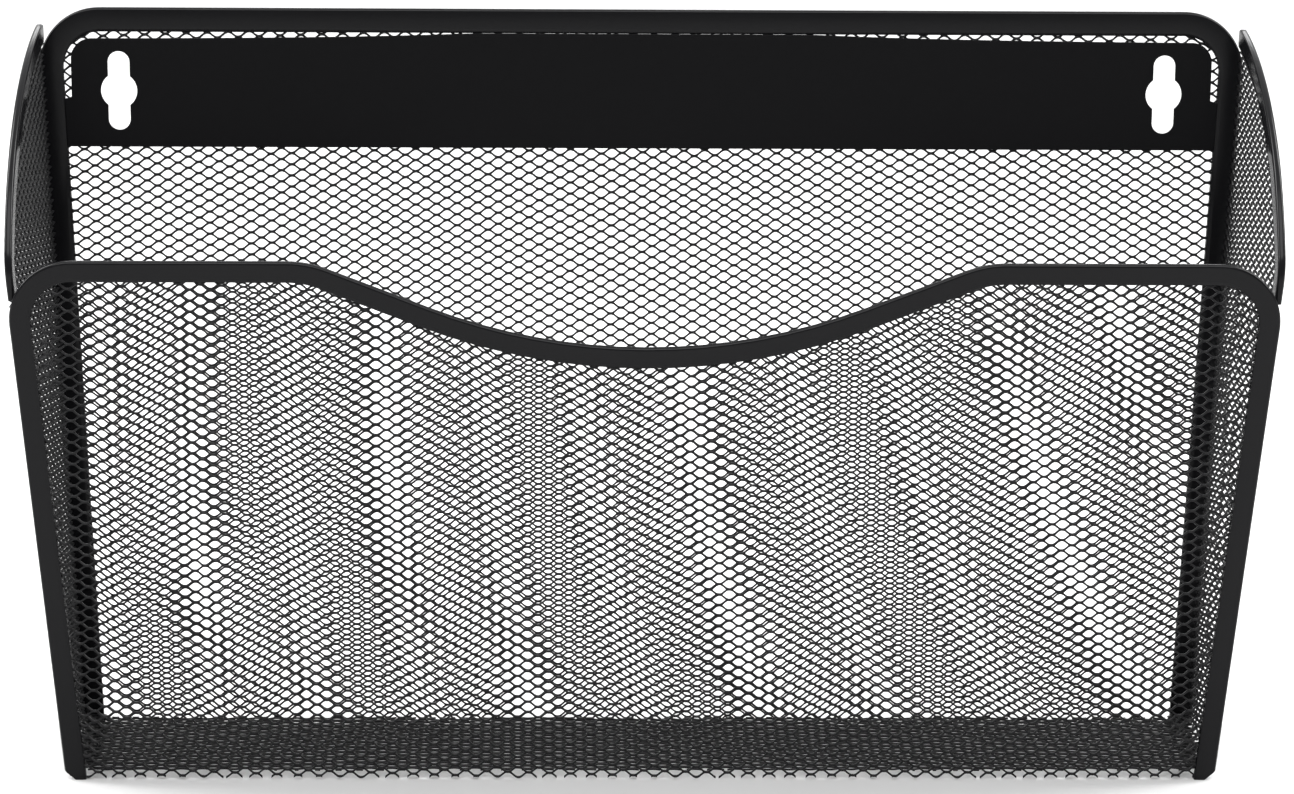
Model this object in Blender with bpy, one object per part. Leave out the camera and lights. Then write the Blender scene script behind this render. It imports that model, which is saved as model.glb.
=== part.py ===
"""Single-pocket wall file: a letter-size hanging file rack in black powder-coated steel.

Five panels of expanded metal make the pocket. U-shaped steel channels are pressed over the free
edges of the panels, and a sheet-steel plate with two keyholes carries the rack on its screws.
The rack is one rigid piece, with no moving part.

Units are metres, +Z is up, the rack faces -Y, and +Y is the wall side. The origin is the
bottom centre of the whole rack.
"""

import math

import bmesh
import bpy
from mathutils import Vector

MM = 0.001

# Overall shape. "Half width" is from the middle plane to the outer edge of a rim.
BACK_HEIGHT = 218.8 * MM
BACK_HALF_WIDTH_AT_FLOOR = 169.3 * MM
BACK_FLARE = 0.0375                     # half width gained per metre of height
FRONT_HEIGHT = 158.0 * MM
FRONT_HALF_WIDTH_AT_FLOOR = 167.7 * MM
FRONT_FLARE = 0.0682
POCKET_DEPTH_AT_FLOOR = 52.6 * MM       # front face of the back rim to front face of the front rim
FRONT_LEAN = 0.165                      # depth gained per metre of height
CORNER_RADIUS = 18.0 * MM

# Sheet stock.
PANEL_THICKNESS = 0.6 * MM              # flattened equivalent of the expanded metal
CHANNEL_WALL = 0.5 * MM
CHANNEL_THICKNESS = 2.2 * MM            # outside to outside, across the panel it grips
CHANNEL_EDGE_RADIUS = 0.8 * MM
BACK_CHANNEL_WIDTH = 7.1 * MM
FRONT_CHANNEL_WIDTH = 6.0 * MM
SIDE_CHANNEL_WIDTH = 5.5 * MM
CLEARANCE = 0.3 * MM                    # left between neighbouring pieces
PANEL_INSET = 1.3 * MM                  # panel edge to the outer edge of its channel
FOOT_CHAMFER = 3.0 * MM                 # cut across the outer corner of each front foot
TIP_RADIUS = 2.6 * MM                   # rounding on the rear tip of each side channel

# The dip along the top of the front panel, measured down the slope of the panel.
DIP_DEPTH = 25.3 * MM
DIP_HALF_WIDTH = 100.0 * MM
DIP_SLOPE = math.radians(22.0)
DIP_SHOULDER_RADIUS = 30.0 * MM

# Side panels: the top edge falls in one large arc from the back rim to the front leg.
SIDE_TOP_AT_BACK = 213.4 * MM
SIDE_TOP_RADIUS = 110.0 * MM
SIDE_TOP_SLOPE = math.radians(12.0)     # how steeply it starts to fall at the back
SIDE_CORNER_RADIUS = 14.0 * MM          # where the arc turns down the front leg
SIDE_CHANNEL_TAIL = 5.0 * MM            # straight run of the side channel beside the front leg

# Mounting plate and its keyholes.
PLATE_THICKNESS = 0.8 * MM
PLATE_TOP = 209.7 * MM                  # at the ends of its upper edge
PLATE_CROWN = 1.6 * MM                  # the upper edge bows up by this in the middle
PLATE_BOTTOM = 177.8 * MM
PLATE_HALF_WIDTH = 167.4 * MM
PLATE_EAR_TOP = 192.5 * MM              # below this the plate reaches out to the back rim
PLATE_CORNER_RADIUS = 6.0 * MM
KEYHOLE_SPACING = 307.0 * MM
KEYHOLE_CENTRE_HEIGHT = 194.4 * MM
KEYHOLE_BORE_RADIUS = 5.3 * MM
KEYHOLE_SLOT_HALF_WIDTH = 3.2 * MM
KEYHOLE_HALF_HEIGHT = 11.6 * MM
KEYHOLE_MARGIN = 1.0 * MM               # the mesh behind is cut back by this around each keyhole
CUTTER_DEPTH = 6.0 * MM

# Smoothness of curves.
ARC_STEP = math.radians(9.0)
EDGE_STEPS = 3
TIP_STEPS = 3
LARGE_ARC_STEP = math.radians(4.0)      # for the side channel's large arc
CROWN_STEP = math.radians(0.25)
SIDE_COLUMNS = 20
SIDE_ROWS = 3                           # above and below the step beside the channel's tail
HALVINGS = 40                           # of the height range, to find where a column ends
PROBE = 0.1 * MM                        # step used to find a direction on a side panel
SAME_POINT = 0.01 * MM
SHARP_EDGE = math.radians(35.0)

LEAN_ANGLE = math.atan(FRONT_LEAN)
TOP_DEPTH = POCKET_DEPTH_AT_FLOOR + FRONT_LEAN * FRONT_HEIGHT
WALL_Y = (TOP_DEPTH + CHANNEL_THICKNESS) / 2
BACK_FACE_Y = WALL_Y - CHANNEL_THICKNESS        # front face of the back rim
BACK_MIDDLE_Y = WALL_Y - CHANNEL_THICKNESS / 2  # middle of the back panel's thickness
HALF_PANEL = PANEL_THICKNESS / 2
PANEL_FOOT = PANEL_THICKNESS + CLEARANCE        # upright panels stand this far above the floor

POWDER_COAT = (0.017, 0.017, 0.019, 1.0)
MESH_COAT = (0.014, 0.014, 0.016, 1.0)


# ---------------------------------------------------------------- scene helpers

def clear_scene():
    for item in list(bpy.data.objects):
        bpy.data.objects.remove(item, do_unlink=True)


def make_material(name, colour, roughness, metallic):
    material = bpy.data.materials.new(name)
    material.use_nodes = True
    shader = material.node_tree.nodes["Principled BSDF"]
    shader.inputs["Base Color"].default_value = colour
    shader.inputs["Roughness"].default_value = roughness
    shader.inputs["Metallic"].default_value = metallic
    return material


def add_object(name, shape, material, parent=None):
    """Turn a bmesh into a named object, with its faces pointing outwards."""
    bmesh.ops.recalc_face_normals(shape, faces=shape.faces)
    mesh = bpy.data.meshes.new(name)
    shape.to_mesh(mesh)
    shape.free()
    item = bpy.data.objects.new(name, mesh)
    bpy.context.collection.objects.link(item)
    if material:
        mesh.materials.append(material)
    mesh.shade_smooth()
    mesh.set_sharp_from_angle(angle=SHARP_EDGE)
    item.parent = parent
    return item


# ---------------------------------------------------------------- outlines in a plane

def arc(centre, radius, start, end, step=ARC_STEP):
    """Points along an arc in the (x, height) plane, from angle start to angle end."""
    steps = max(2, math.ceil(abs(end - start) / step))
    angles = [start + (end - start) * i / steps for i in range(steps + 1)]
    return [Vector((centre[0] + radius * math.cos(a), centre[1] + radius * math.sin(a)))
            for a in angles]


def join_points(*runs):
    """Join runs of points, leaving out a point that repeats the one before it."""
    path = []
    for run in runs:
        for point in run:
            if not path or (point - path[-1]).length > SAME_POINT:
                path.append(point)
    return path


def mirrored(run):
    """The same run of points on the other side of the middle plane, in reverse order."""
    return [Vector((-point.x, point.y)) for point in reversed(run)]


def left_leg_and_corner(half_width_at_floor, flare, height):
    """Up the left leg and round its corner, ending on the top edge."""
    slant = math.atan(flare)
    centre_height = height - CORNER_RADIUS
    tangent_height = centre_height - CORNER_RADIUS * math.sin(slant)
    tangent_x = -(half_width_at_floor + flare * tangent_height)
    centre = (tangent_x + CORNER_RADIUS * math.cos(slant), centre_height)
    foot = [Vector((-half_width_at_floor, 0.0))]
    return foot + arc(centre, CORNER_RADIUS, math.pi + slant, math.pi / 2)


def back_outline():
    """Outer edge of the back, from the left foot over the top to the right foot."""
    left = left_leg_and_corner(BACK_HALF_WIDTH_AT_FLOOR, BACK_FLARE, BACK_HEIGHT)
    return join_points(left, mirrored(left))


def front_outline():
    """Outer edge of the front, in the slope of the panel, with the dip along its top."""
    height = FRONT_HEIGHT / math.cos(LEAN_ANGLE)
    flare = FRONT_FLARE * math.cos(LEAN_ANGLE)
    left = left_leg_and_corner(FRONT_HALF_WIDTH_AT_FLOOR, flare, height)
    straight = DIP_HALF_WIDTH * math.sin(DIP_SLOPE) - DIP_DEPTH * math.cos(DIP_SLOPE)
    dip_radius = straight / (1 - math.cos(DIP_SLOPE)) - DIP_SHOULDER_RADIUS
    shoulder = arc((-DIP_HALF_WIDTH, height - DIP_SHOULDER_RADIUS), DIP_SHOULDER_RADIUS,
                   math.pi / 2, math.pi / 2 - DIP_SLOPE)
    dip = arc((0.0, height - DIP_DEPTH + dip_radius), dip_radius,
              1.5 * math.pi - DIP_SLOPE, 1.5 * math.pi)
    half = join_points(left, shoulder, dip)
    return join_points(half, mirrored(half))


def inward_normals(path):
    """Unit normals on the right of a path that runs clockwise, so they point inwards."""
    normals = []
    for i in range(len(path)):
        before = path[max(i - 1, 0)]
        after = path[min(i + 1, len(path) - 1)]
        along = Vector((0.0, 0.0))
        if (path[i] - before).length > 0:
            along += (path[i] - before).normalized()
        if (after - path[i]).length > 0:
            along += (after - path[i]).normalized()
        along.normalize()
        normals.append(Vector((along.y, -along.x)))
    return normals


def inset_outline(path, distance, foot):
    """The outline moved inwards, with its two ends at a given height."""
    moved = [point + normal * distance for point, normal in zip(path, inward_normals(path))]
    moved[0].y = foot
    moved[-1].y = foot
    return moved


def keyhole_outline(margin=0.0):
    """A keyhole with a round middle and a slot above and below, about its own centre."""
    bore = KEYHOLE_BORE_RADIUS + margin
    slot = KEYHOLE_SLOT_HALF_WIDTH + margin
    slot_end = KEYHOLE_HALF_HEIGHT - KEYHOLE_SLOT_HALF_WIDTH
    meet = math.acos(slot / bore)
    right_of_bore = arc((0.0, 0.0), bore, -meet, meet)
    top_of_slot = arc((0.0, slot_end), slot, 0.0, math.pi)
    half = right_of_bore + top_of_slot
    return half + [Vector((-point.x, -point.y)) for point in half]


# ---------------------------------------------------------------- solids

def slab(outline, place, thickness):
    """A flat plate: a closed outline, placed by a function, thickened about its middle."""
    shape = bmesh.new()
    sides = []
    for offset in (-thickness / 2, thickness / 2):
        sides.append([shape.verts.new(place(point.x, point.y, offset)) for point in outline])
    count = len(outline)
    shape.faces.new(sides[0])
    shape.faces.new(list(reversed(sides[1])))
    for i in range(count):
        j = (i + 1) % count
        shape.faces.new((sides[0][i], sides[1][i], sides[1][j], sides[0][j]))
    return shape


def on_back(x, height, offset):
    """A point on the back panel's middle plane, moved towards the room by offset."""
    return Vector((x, BACK_MIDDLE_Y - offset, height))


def on_front(x, slope, offset):
    """A point on the front panel's middle plane, slope metres up it, moved outwards by offset."""
    up = Vector((0.0, -math.sin(LEAN_ANGLE), math.cos(LEAN_ANGLE)))
    out = Vector((0.0, -math.cos(LEAN_ANGLE), -math.sin(LEAN_ANGLE)))
    foot = Vector((0.0, BACK_FACE_Y - POCKET_DEPTH_AT_FLOOR, 0.0))
    return foot + Vector((x, 0.0, 0.0)) + up * slope + out * (offset - CHANNEL_THICKNESS / 2)


def channel_section(width, stops):
    """The U section as (distance in from the spine, distance across), going round it once."""
    half = CHANNEL_THICKNESS / 2
    radius = CHANNEL_EDGE_RADIUS
    inner = half - CHANNEL_WALL
    bends = [i / EDGE_STEPS * math.pi / 2 for i in range(EDGE_STEPS + 1)]
    stops = sorted(stop for stop in stops if radius < stop < width)
    lower = [(radius - radius * math.cos(a), radius - half - radius * math.sin(a)) for a in bends]
    outside = lower + [(stop, -half) for stop in stops] + [(width, -half)]
    inside = [(width, -inner)] + [(stop, -inner) for stop in reversed(stops)]
    inside += [(CHANNEL_WALL, -inner)]
    half_section = outside + inside
    return half_section + [(u, -v) for u, v in reversed(half_section)]


def sweep(stations, section, start_cut, end_cut):
    """Carry the section along the stations, with each end trimmed by its own function.

    A station is (point, inward direction, across direction, direction of travel). A cut takes
    a point of the end ring, its distance in from the spine and the direction of travel.
    """
    shape = bmesh.new()
    rings = []
    last = len(stations) - 1
    for i, (point, inward, across, along) in enumerate(stations):
        ring = []
        for u, v in section:
            place = point + inward * u + across * v
            if i == 0:
                place = start_cut(place, u, along)
            if i == last:
                place = end_cut(place, u, along)
            ring.append(shape.verts.new(place))
        rings.append(ring)
    count = len(section)
    for first, second in zip(rings, rings[1:]):
        for i in range(count):
            j = (i + 1) % count
            shape.faces.new((first[i], first[j], second[j], second[i]))
    shape.faces.new(list(reversed(rings[0])))
    shape.faces.new(rings[-1])
    return shape


def flat_stations(path, place):
    """Stations for a channel round a flat panel."""
    stations = []
    origin = place(0.0, 0.0, 0.0)
    right = place(1.0, 0.0, 0.0) - origin
    up = place(0.0, 1.0, 0.0) - origin
    across = place(0.0, 0.0, 1.0) - origin
    for point, normal in zip(path, inward_normals(path)):
        inward = right * normal.x + up * normal.y
        along = right * -normal.y + up * normal.x
        stations.append((place(point.x, point.y, 0.0), inward, across, along))
    return stations


def uncut(place, distance_in, along):
    return place


def level_foot(place, distance_in, along):
    """Slide a point along the channel to the floor."""
    return place - along * (place.z / along.z)


def chamfered_foot(place, distance_in, along):
    """Slide a point along the channel to the floor, or to the chamfer at its outer corner."""
    target = max(0.0, FOOT_CHAMFER - distance_in)
    return place + along * ((target - place.z) / along.z)


def rounded_tip(place, distance_in, along):
    """Slide a point to just in front of the back rim, with the upper corner rounded."""
    reach = max(0.0, TIP_RADIUS - distance_in)
    rounding = TIP_RADIUS - math.sqrt(TIP_RADIUS ** 2 - reach ** 2)
    target = BACK_FACE_Y - CLEARANCE - rounding
    return place + along * ((target - place.y) / along.y)


# ---------------------------------------------------------------- side panels

def side_point(side, depth, height, offset=0.0):
    """A point on a side panel, by depth forward of the back rim's front face.

    The panel is stretched between the outer edges of the back and front legs. Offset moves
    the point outwards, and side is -1 for the left panel and 1 for the right one.
    """
    back = BACK_HALF_WIDTH_AT_FLOOR + BACK_FLARE * height
    front = FRONT_HALF_WIDTH_AT_FLOOR + FRONT_FLARE * height
    share = depth / (POCKET_DEPTH_AT_FLOOR + FRONT_LEAN * height)
    half_width = back + (front - back) * share - CHANNEL_THICKNESS / 2
    return Vector((side * (half_width + offset), BACK_FACE_Y - depth, height))


def side_front_depth(height, gap):
    """Depth of the front leg's rear face at a height, less a gap."""
    leg = CHANNEL_THICKNESS / math.cos(LEAN_ANGLE)
    return POCKET_DEPTH_AT_FLOOR + FRONT_LEAN * height - leg - gap


def side_top_outline():
    """The side channel's outer edge as (depth, height), from its rear tip to the front leg.

    A large arc runs forward and down from the tip. A small one inside it turns down the leg.
    """
    start = math.pi / 2 - SIDE_TOP_SLOPE
    tip = Vector((CLEARANCE, SIDE_TOP_AT_BACK))
    centre = tip - Vector((math.cos(start), math.sin(start))) * SIDE_TOP_RADIUS
    up_leg = Vector((math.sin(LEAN_ANGLE), math.cos(LEAN_ANGLE)))
    inward = Vector((-up_leg.y, up_leg.x))
    foot = Vector((side_front_depth(0.0, CLEARANCE), 0.0))
    across = foot + inward * SIDE_CORNER_RADIUS - centre
    between_centres = SIDE_TOP_RADIUS - SIDE_CORNER_RADIUS
    rise = across.dot(up_leg)
    climb = math.sqrt(rise ** 2 - across.length_squared + between_centres ** 2) - rise
    corner = across + up_leg * climb
    meet = math.atan2(corner.y, corner.x)
    fall = arc(centre, SIDE_TOP_RADIUS, start, meet, LARGE_ARC_STEP)
    bend = arc(centre + corner, SIDE_CORNER_RADIUS, meet, -LEAN_ANGLE)
    return join_points(fall, bend, [bend[-1] - up_leg * SIDE_CHANNEL_TAIL])


def side_stations(side):
    """Stations for a side channel, which follows the slight twist of its panel."""
    path = side_top_outline()
    stations = []
    for point, normal in zip(path, inward_normals(path)):
        ahead_2d = point + Vector((-normal.y, normal.x)) * PROBE
        inner_2d = point + normal * PROBE
        place = side_point(side, *point)
        ahead = side_point(side, *ahead_2d)
        inner = side_point(side, *inner_2d)
        along = (ahead - place).normalized()
        inward = (inner - place).normalized()
        across = inward.cross(along).normalized()
        stations.append((place, inward, across, along))
    return stations


def side_panel_top(share, outline):
    """Height of the side panel's top edge in one column, found where the column meets it."""
    low = PANEL_FOOT
    high = SIDE_TOP_AT_BACK
    for _ in range(HALVINGS):
        height = (low + high) / 2
        depth = column_depth(share, height, CLEARANCE + PANEL_INSET)
        if height < outline_height(outline, depth):
            low = height
        else:
            high = height
    return low


def column_depth(share, height, front_gap):
    """Depth of a side panel column, which runs from the back leg to the front leg."""
    rear = CLEARANCE
    front = side_front_depth(height, front_gap)
    return rear + (front - rear) * share


def column_points(share, outline, tail_height):
    """One column of a side panel as (depth, height), from its foot to its top edge.

    The panel reaches the front leg below the channel's tail, and steps back where the tail
    runs between the two.
    """
    step = tail_height - CLEARANCE
    top = side_panel_top(share, outline)
    points = []
    for row in range(SIDE_ROWS + 1):
        height = PANEL_FOOT + (step - PANEL_FOOT) * row / SIDE_ROWS
        points.append((column_depth(share, height, CLEARANCE), height))
    for row in range(SIDE_ROWS + 1):
        height = tail_height + (top - tail_height) * row / SIDE_ROWS
        points.append((column_depth(share, height, CLEARANCE + PANEL_INSET), height))
    return points


def outline_height(outline, depth):
    """Height of the top edge at a depth, along straight pieces between its points."""
    for a, b in zip(outline, outline[1:]):
        if a.x <= depth <= b.x:
            return a.y + (b.y - a.y) * (depth - a.x) / (b.x - a.x)
    return outline[0].y if depth < outline[0].x else 0.0


def side_panel(side):
    """A side panel as a thin sheet, built in columns so that it follows its own twist."""
    path = side_top_outline()
    outline = [p + n * PANEL_INSET for p, n in zip(path, inward_normals(path))]
    tail_height = path[-1].y
    shape = bmesh.new()
    inner = []
    outer = []
    for column in range(SIDE_COLUMNS + 1):
        share = math.sin(column / SIDE_COLUMNS * math.pi / 2)
        points = column_points(share, outline, tail_height)
        for grid, offset in ((inner, -HALF_PANEL), (outer, HALF_PANEL)):
            grid.append([shape.verts.new(side_point(side, *point, offset)) for point in points])
    for grid in (inner, outer):
        for left, right in zip(grid, grid[1:]):
            for row in range(len(left) - 1):
                shape.faces.new((left[row], right[row], right[row + 1], left[row + 1]))
    close_edges(shape, inner, outer)
    return shape


def close_edges(shape, inner, outer):
    """Join the border of two matching grids of vertices with a strip of faces."""
    def border(columns):
        bottom = [column[0] for column in columns]
        top = [column[-1] for column in reversed(columns)]
        return bottom + columns[-1][1:-1] + top + list(reversed(columns[0][1:-1]))
    first = border(inner)
    second = border(outer)
    count = len(first)
    for i in range(count):
        j = (i + 1) % count
        shape.faces.new((first[i], first[j], second[j], second[i]))


# ---------------------------------------------------------------- the pieces

def build_back_mesh(material, parent):
    outline = inset_outline(back_outline(), PANEL_INSET, PANEL_FOOT)
    panel = add_object("back_mesh", slab(outline, on_back, PANEL_THICKNESS), material, parent)
    cut_keyholes(panel, BACK_MIDDLE_Y, KEYHOLE_MARGIN)
    return panel


def build_front_mesh(material, parent):
    outline = inset_outline(front_outline(), PANEL_INSET, PANEL_FOOT)
    return add_object("front_mesh", slab(outline, on_front, PANEL_THICKNESS), material, parent)


def build_bottom_mesh(material, parent):
    """The bottom panel, notched at its corners round the four legs."""
    back_edge = BACK_MIDDLE_Y + HALF_PANEL
    front_edge = BACK_FACE_Y - POCKET_DEPTH_AT_FLOOR + CHANNEL_THICKNESS / 2 - HALF_PANEL
    back_notch = BACK_FACE_Y - CLEARANCE
    front_notch = BACK_FACE_Y - side_front_depth(PANEL_THICKNESS, CLEARANCE)
    back_inner = BACK_HALF_WIDTH_AT_FLOOR - BACK_CHANNEL_WIDTH - CLEARANCE
    front_inner = FRONT_HALF_WIDTH_AT_FLOOR - FRONT_CHANNEL_WIDTH - CLEARANCE
    back_outer = BACK_HALF_WIDTH_AT_FLOOR - CLEARANCE
    front_outer = FRONT_HALF_WIDTH_AT_FLOOR - CLEARANCE
    right = [Vector((front_inner, front_edge)), Vector((front_inner, front_notch)),
             Vector((front_outer, front_notch)), Vector((back_outer, back_notch)),
             Vector((back_inner, back_notch)), Vector((back_inner, back_edge))]
    outline = right + mirrored(right)

    def on_floor(x, y, offset):
        return Vector((x, y, HALF_PANEL + offset))

    return add_object("bottom_mesh", slab(outline, on_floor, PANEL_THICKNESS), material, parent)


def build_side_mesh(side, name, material, parent):
    return add_object(name, side_panel(side), material, parent)


def build_back_rim(material, parent):
    section = channel_section(BACK_CHANNEL_WIDTH, [])
    stations = flat_stations(back_outline(), on_back)
    shape = sweep(stations, section, level_foot, level_foot)
    return add_object("back_rim", shape, material, parent)


def build_front_rim(material, parent):
    section = channel_section(FRONT_CHANNEL_WIDTH, [FOOT_CHAMFER])
    stations = flat_stations(front_outline(), on_front)
    shape = sweep(stations, section, chamfered_foot, chamfered_foot)
    return add_object("front_rim", shape, material, parent)


def build_side_rim(side, name, material, parent):
    stops = [CHANNEL_EDGE_RADIUS + (TIP_RADIUS - CHANNEL_EDGE_RADIUS) * i / TIP_STEPS
             for i in range(1, TIP_STEPS + 1)]
    section = channel_section(SIDE_CHANNEL_WIDTH, stops)
    shape = sweep(side_stations(side), section, rounded_tip, uncut)
    return add_object(name, shape, material, parent)


def plate_outline():
    """The mounting plate, with a slightly crowned top and a wider lower half."""
    radius = PLATE_CORNER_RADIUS
    shoulder = Vector((-PLATE_HALF_WIDTH + radius, PLATE_TOP))
    crown_radius = (shoulder.x ** 2 + PLATE_CROWN ** 2) / (2 * PLATE_CROWN)
    half_angle = math.asin(-shoulder.x / crown_radius)
    crown_centre = (0.0, PLATE_TOP + PLATE_CROWN - crown_radius)
    left = [Vector((-ear_half_width(PLATE_BOTTOM), PLATE_BOTTOM)),
            Vector((-ear_half_width(PLATE_EAR_TOP), PLATE_EAR_TOP - 2 * CLEARANCE)),
            Vector((-PLATE_HALF_WIDTH, PLATE_EAR_TOP))]
    left += arc((shoulder.x, PLATE_TOP - radius), radius, math.pi, math.pi / 2 + half_angle)
    left += arc(crown_centre, crown_radius, math.pi / 2 + half_angle, math.pi / 2, CROWN_STEP)
    return join_points(left, mirrored(left))


def ear_half_width(height):
    """How far the plate's lower half reaches out, just short of the back rim."""
    rim = BACK_HALF_WIDTH_AT_FLOOR + BACK_FLARE * height - BACK_CHANNEL_WIDTH
    return rim - CLEARANCE


def plate_middle_y():
    """The plate lies against the room side of the back panel."""
    return BACK_MIDDLE_Y - HALF_PANEL - CLEARANCE - PLATE_THICKNESS / 2


def build_mounting_plate(material, parent):
    middle = plate_middle_y()

    def on_plate(x, height, offset):
        return Vector((x, middle - offset, height))

    shape = slab(plate_outline(), on_plate, PLATE_THICKNESS)
    plate = add_object("mounting_plate", shape, material, parent)
    cut_keyholes(plate, middle, 0.0)
    return plate


def cut_keyholes(panel, middle_y, margin):
    """Cut both keyholes through a panel with hidden cutters."""
    def across_panel(x, height, offset):
        return Vector((x, offset, height))

    for side in (-1, 1):
        shape = slab(keyhole_outline(margin), across_panel, CUTTER_DEPTH)
        cutter = add_object("cutter_%s_%d" % (panel.name, side), shape, None)
        cutter.location = (side * KEYHOLE_SPACING / 2, middle_y, KEYHOLE_CENTRE_HEIGHT)
        cutter.hide_render = True
        cutter.display_type = "WIRE"
        cut = panel.modifiers.new("keyhole", "BOOLEAN")
        cut.operation = "DIFFERENCE"
        cut.object = cutter


def main():
    clear_scene()
    rack = bpy.data.objects.new("rack", None)
    bpy.context.collection.objects.link(rack)
    coat = make_material("powder_coated_channel", POWDER_COAT, 0.45, 0.0)
    plate_coat = make_material("powder_coated_plate", POWDER_COAT, 0.5, 0.0)
    mesh_coat = make_material("powder_coated_mesh", MESH_COAT, 0.55, 0.0)
    build_back_mesh(mesh_coat, rack)
    build_front_mesh(mesh_coat, rack)
    build_bottom_mesh(mesh_coat, rack)
    build_side_mesh(-1, "left_side_mesh", mesh_coat, rack)
    build_side_mesh(1, "right_side_mesh", mesh_coat, rack)
    build_back_rim(coat, rack)
    build_front_rim(coat, rack)
    build_side_rim(-1, "left_side_rim", coat, rack)
    build_side_rim(1, "right_side_rim", coat, rack)
    build_mounting_plate(plate_coat, rack)


main()
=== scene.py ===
"""Looks of the hanging file rack: expanded-steel panels, pressed channels, plate, light and camera.

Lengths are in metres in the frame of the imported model: +Z is up, the rack faces -Y, and the wall
side is +Y. The rack is one rigid body, so every piece rides on "root".
"""
import math

import bpy
import numpy as np
from mathutils import Matrix, Vector


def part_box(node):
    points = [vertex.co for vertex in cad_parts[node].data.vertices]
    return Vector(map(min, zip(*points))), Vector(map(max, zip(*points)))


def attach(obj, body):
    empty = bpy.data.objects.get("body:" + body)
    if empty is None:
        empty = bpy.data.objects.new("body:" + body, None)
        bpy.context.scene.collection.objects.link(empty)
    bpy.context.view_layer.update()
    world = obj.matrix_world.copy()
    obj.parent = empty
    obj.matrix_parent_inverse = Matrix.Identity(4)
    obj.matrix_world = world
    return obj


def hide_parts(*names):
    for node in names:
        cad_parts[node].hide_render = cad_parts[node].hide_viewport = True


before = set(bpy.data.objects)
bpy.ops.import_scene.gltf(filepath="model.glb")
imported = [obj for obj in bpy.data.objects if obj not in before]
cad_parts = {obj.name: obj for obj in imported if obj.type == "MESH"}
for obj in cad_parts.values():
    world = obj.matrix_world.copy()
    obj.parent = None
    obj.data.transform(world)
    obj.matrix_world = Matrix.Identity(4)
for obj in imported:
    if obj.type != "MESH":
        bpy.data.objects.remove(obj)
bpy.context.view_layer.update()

MM = 0.001

# ---------------------------------------------------------------- sizes

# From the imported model.
WALL_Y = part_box("back_rim")[1].y
BACK_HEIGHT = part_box("back_rim")[1].z
FRONT_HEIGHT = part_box("front_rim")[1].z
CHANNEL_THICKNESS = WALL_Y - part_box("back_rim")[0].y
PLATE_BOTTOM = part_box("mounting_plate")[0].z
PLATE_FRONT_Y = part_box("mounting_plate")[0].y
PLATE_BACK_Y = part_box("mounting_plate")[1].y

# The outlines, as half widths at the floor and what they gain per metre of height.
BACK_HALF_WIDTH = 169.3 * MM
BACK_FLARE = 0.0375
FRONT_HALF_WIDTH = 167.7 * MM
FRONT_FLARE = 0.0682
POCKET_DEPTH = 52.6 * MM                # at the floor, front face to front face of the two rims
FRONT_LEAN = 0.165                      # depth gained per metre of height
CORNER_RADIUS = 18.0 * MM
DIP_DEPTH = 25.3 * MM
DIP_HALF_WIDTH = 100.0 * MM
DIP_SLOPE = math.radians(22.0)
DIP_SHOULDER_RADIUS = 30.0 * MM
SIDE_TOP = 214.2 * MM
SIDE_TOP_RADIUS = 110.0 * MM
SIDE_TOP_SLOPE = math.radians(12.0)
SIDE_CORNER_RADIUS = 14.0 * MM
SIDE_TAIL = 5.0 * MM
RIGHT_WAIST = 2.2 * MM                  # the right side sheet is drawn in by this, the left one isn't
WAIST_TOP = 180.0 * MM
WAIST_FADE = 60.0 * MM
WAIST_PEAK = 27.0 / 4.0                 # makes the greatest value of x(1 - x)(1 - x) one
CLEARANCE = 0.3 * MM

# Channels.
BACK_CHANNEL_WIDTH = 7.1 * MM
FRONT_CHANNEL_WIDTH = 6.0 * MM
SIDE_CHANNEL_WIDTH = 5.5 * MM
CHANNEL_WALL = 0.5 * MM
FOLD_RADIUS = 0.95 * MM
LIP_BEVEL = 0.12 * MM
CRIMP_LENGTH = 1.3 * MM                 # the free edges of a channel are pressed in over this
CRIMP_DEPTH = 0.12 * MM
FOOT_CHAMFER = 3.0 * MM
TIP_RADIUS = 1.3 * MM

# Mounting plate.
PLATE_HALF_WIDTH = 167.4 * MM
PLATE_TUCKED_HALF_WIDTH = 50.0 * MM     # its middle reaches the rim over this
PLATE_GAP = 2.15 * MM                   # and its ends stop this far below the rim
PLATE_GAP_RUN = 50.0 * MM
PLATE_EAR_TOP = 192.5 * MM
PLATE_CORNER_RADIUS = 6.0 * MM
PLATE_EDGE = 0.15 * MM
PLATE_TOP_STEPS = 40
KEYHOLE_SPACING = 307.0 * MM
KEYHOLE_CENTRE_HEIGHT = 194.4 * MM
KEYHOLE_BORE_RADIUS = 5.3 * MM
KEYHOLE_SLOT_HALF_WIDTH = 3.2 * MM
KEYHOLE_HALF_HEIGHT = 11.6 * MM
KEYHOLE_MARGIN = 1.0 * MM

# Expanded metal: slit and stretched sheet. A strand is a bar of sheet, rolled over by the stretching.
DIAMOND_LENGTH = 6.06 * MM
DIAMOND_HEIGHT = 3.31 * MM
BOND_LENGTH = 1.15 * MM
BOND_ROUNDING = 0.28 * MM
STRAND_WIDTH = 0.70 * MM
STRAND_THICKNESS = 0.66 * MM
STRAND_OVERLAP = 0.03 * MM              # neighbouring strands merge by this at their bonds
PANEL_INSET = 1.3 * MM                  # sheared edge of a panel to the outer edge of its channel
BOTTOM_HEIGHT = 2.5 * MM                # middle of the bottom sheet above the floor
BOTTOM_GAP = 1.1 * MM                   # from it up to the middle of a side sheet's flange
FRONT_SHEET_FOOT = 0.5 * MM
FOLD_BEND_RADIUS = 1.5 * MM
FLANGE_WIDTH = 7.0 * MM                 # each side sheet is folded in over the bottom by this
SIDE_SHEET_GAP = 0.05 * MM              # from a side sheet to the legs beside it
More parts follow.
